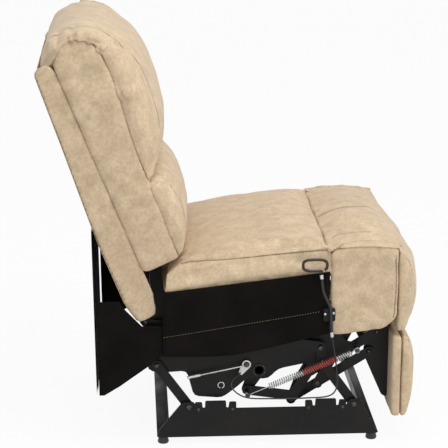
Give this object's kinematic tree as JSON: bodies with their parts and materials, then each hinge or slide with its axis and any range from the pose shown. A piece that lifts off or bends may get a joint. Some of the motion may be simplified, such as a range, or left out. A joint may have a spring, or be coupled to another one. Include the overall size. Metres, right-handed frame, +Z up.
{
  "type": "armless recliner",
  "caption": "Armless reclining seat section with padded back, folding footrest, pull-ring release and an open steel link mechanism on a glide base.",
  "frame": {"origin": "on the floor, under the middle of the whole section's box", "axes": "+X towards the seat's front, +Y to the sitter's left, +Z up"},
  "size_m": [0.9002, 0.5901, 1.0247],
  "materials": {
    "tan_upholstery": "soft matt with fine mottling",
    "tan_upholstery_side": "soft matt with fine mottling",
    "black_platform_cloth": "woven, matt",
    "black_painted_steel": "satin",
    "zinc_plated_steel": "bright",
    "zinc_and_red_spring": "bright with a painted middle",
    "frame_wood": "raw",
    "black_plastic": "satin"
  },
  "bodies": {
    "base": {"base_rail_right": "black_painted_steel", "base_rail_left": "black_painted_steel", "rear_glide_right": "black_plastic", "rear_glide_left": "black_plastic", "front_glide_right": "black_plastic", "front_glide_left": "black_plastic", "base_cross_rear": "black_painted_steel", "base_cross_front": "black_painted_steel"},
    "front_swing": {"front_swing_right": "black_painted_steel", "front_swing_left": "black_painted_steel"},
    "rear_swing": {"rear_swing_right": "black_painted_steel", "rear_swing_left": "black_painted_steel"},
    "seat": {"seat_plate_right": "black_painted_steel", "seat_plate_left": "black_painted_steel", "front_box_right": "tan_upholstery_side", "front_box_left": "tan_upholstery_side", "side_cloth_right": "black_platform_cloth", "side_cloth_left": "black_platform_cloth", "opening_spring_right": "zinc_and_red_spring", "opening_spring_left": "zinc_and_red_spring", "seat_frame": "frame_wood", "seat_deck": "black_platform_cloth", "seat_cushion": "tan_upholstery", "front_board": "frame_wood", "front_roll": "tan_upholstery", "cable_clip": "black_painted_steel", "cable_sheath": "black_plastic", "release_wire": "black_plastic"},
    "chaise": {"chaise_pad": "tan_upholstery"},
    "back": {"back_bracket_right": "black_painted_steel", "back_bracket_left": "black_painted_steel", "back_frame": "frame_wood", "back_rail_low": "frame_wood", "back_webbing": "black_platform_cloth", "back_shell": "tan_upholstery_side", "back_core": "tan_upholstery_side", "head_pillow": "tan_upholstery", "lumbar_pillow": "tan_upholstery"},
    "back_drive": {"back_drive_bar_right": "black_painted_steel", "back_drive_bar_left": "black_painted_steel"},
    "skirt": {"rear_skirt": "tan_upholstery_side", "skirt_gusset_right": "black_platform_cloth", "skirt_gusset_left": "black_platform_cloth"},
    "rear_crank": {"rear_crank_right": "black_painted_steel", "rear_crank_left": "black_painted_steel"},
    "front_crank": {"front_crank_right": "black_painted_steel", "front_crank_left": "black_painted_steel"},
    "long_arm": {"long_arm_right": "black_painted_steel", "long_arm_left": "black_painted_steel"},
    "upper_arm": {"upper_arm_right": "black_painted_steel", "upper_arm_left": "black_painted_steel"},
    "footrest": {"footrest_bracket_right": "black_painted_steel", "footrest_bracket_left": "black_painted_steel", "footrest_board": "tan_upholstery_side", "footrest_pad": "tan_upholstery"},
    "drive_lever": {"drive_shaft": "black_painted_steel"},
    "drive_rod": {"drive_rod_right": "black_painted_steel", "drive_rod_left": "black_painted_steel"},
    "release_ring": {"release_ring": "black_plastic"},
    "latch": {"latch_pawl": "zinc_plated_steel"}
  },
  "joints": [
    {"name": "recline", "type": "hinge", "parent": "base", "child": "front_swing", "pos_m": [0.3, 0, 0.094], "axis": [0, 1, 0], "range_deg": [0, 38]},
    {"name": "rear_swing_turn", "type": "hinge", "parent": "base", "child": "rear_swing", "pos_m": [-0.1, 0, 0.094], "axis": [0, 1, 0], "range_deg": [0, 38]},
    {"name": "seat_glide", "type": "hinge", "parent": "front_swing", "child": "seat", "pos_m": [0.22297, 0, 0.2012], "axis": [0, -1, 0], "range_deg": [0, 38]},
    {"name": "back_lean", "type": "hinge", "parent": "seat", "child": "back", "pos_m": [-0.185, 0, 0.348], "axis": [0, -1, 0], "range_deg": [0, 38]},
    {"name": "skirt_hang", "type": "hinge", "parent": "back", "child": "skirt", "pos_m": [-0.3269, 0, 0.54359], "axis": [0, 1, 0], "range_deg": [0, 38]},
    {"name": "back_drive_turn", "type": "hinge", "parent": "back", "child": "back_drive", "pos_m": [-0.20388, 0, 0.31273], "axis": [0, 1, 0], "range_deg": [0, 38]},
    {"name": "footrest_open", "type": "hinge", "parent": "seat", "child": "footrest", "pos_m": [0.45267, 0, 0.42691], "axis": [0, -1, 0], "range_deg": [0, 100], "deforming": ["opening_spring_right", "opening_spring_left"]},
    {"name": "chaise_swing", "type": "hinge", "parent": "seat", "child": "chaise", "pos_m": [0.427, 0, 0.484], "axis": [0, -1, 0], "range_deg": [0, 62]},
    {"name": "rear_crank_turn", "type": "hinge", "parent": "seat", "child": "rear_crank", "pos_m": [0.26265, 0, 0.31001], "axis": [0, -1, 0], "range_deg": [0, 100]},
    {"name": "front_crank_turn", "type": "hinge", "parent": "seat", "child": "front_crank", "pos_m": [0.32653, 0, 0.34931], "axis": [0, -1, 0], "range_deg": [0, 100]},
    {"name": "long_arm_turn", "type": "hinge", "parent": "rear_crank", "child": "long_arm", "pos_m": [0.14998, 0, 0.0981], "axis": [0, 1, 0], "range_deg": [0, 100]},
    {"name": "upper_arm_turn", "type": "hinge", "parent": "rear_crank", "child": "upper_arm", "pos_m": [0.16797, 0, 0.14806], "axis": [0, 1, 0], "range_deg": [0, 100]},
    {"name": "drive_lever_turn", "type": "hinge", "parent": "seat", "child": "drive_lever", "pos_m": [0.07011, 0, 0.18174], "axis": [0, -1, 0], "range_deg": [0, 100]},
    {"name": "drive_rod_turn", "type": "hinge", "parent": "drive_lever", "child": "drive_rod", "pos_m": [0.041, 0, 0.127], "axis": [0, 1, 0], "range_deg": [0, 100]},
    {"name": "release_pull", "type": "slide", "parent": "seat", "child": "release_ring", "axis": [-0.2, 0, 0.9798], "range_m": [0, 0.02], "stiffness_N_per_m": 300, "springref_m": -0.01},
    {"name": "latch_turn", "type": "hinge", "parent": "seat", "child": "latch", "pos_m": [0.03911, 0, 0.19874], "axis": [0, 1, 0], "range_deg": [0, 25]}
  ],
  "couplings": [
    {"joint": "rear_swing_turn", "follows": "recline", "ratio": 1},
    {"joint": "seat_glide", "follows": "recline", "ratio": 1},
    {"joint": "back_lean", "follows": "recline", "ratio": 1},
    {"joint": "skirt_hang", "follows": "recline", "ratio": 1},
    {"joint": "back_drive_turn", "follows": "recline", "ratio": 1},
    {"joint": "rear_crank_turn", "follows": "footrest_open", "ratio": 1},
    {"joint": "front_crank_turn", "follows": "footrest_open", "ratio": 1},
    {"joint": "long_arm_turn", "follows": "footrest_open", "ratio": 1},
    {"joint": "upper_arm_turn", "follows": "footrest_open", "ratio": 1},
    {"joint": "drive_lever_turn", "follows": "footrest_open", "ratio": 1},
    {"joint": "drive_rod_turn", "follows": "footrest_open", "ratio": 1},
    {"joint": "chaise_swing", "follows": "footrest_open", "ratio": 0.62},
    {"joint": "latch_turn", "follows": "release_pull", "rad_per_m": 21.8}
  ]
}
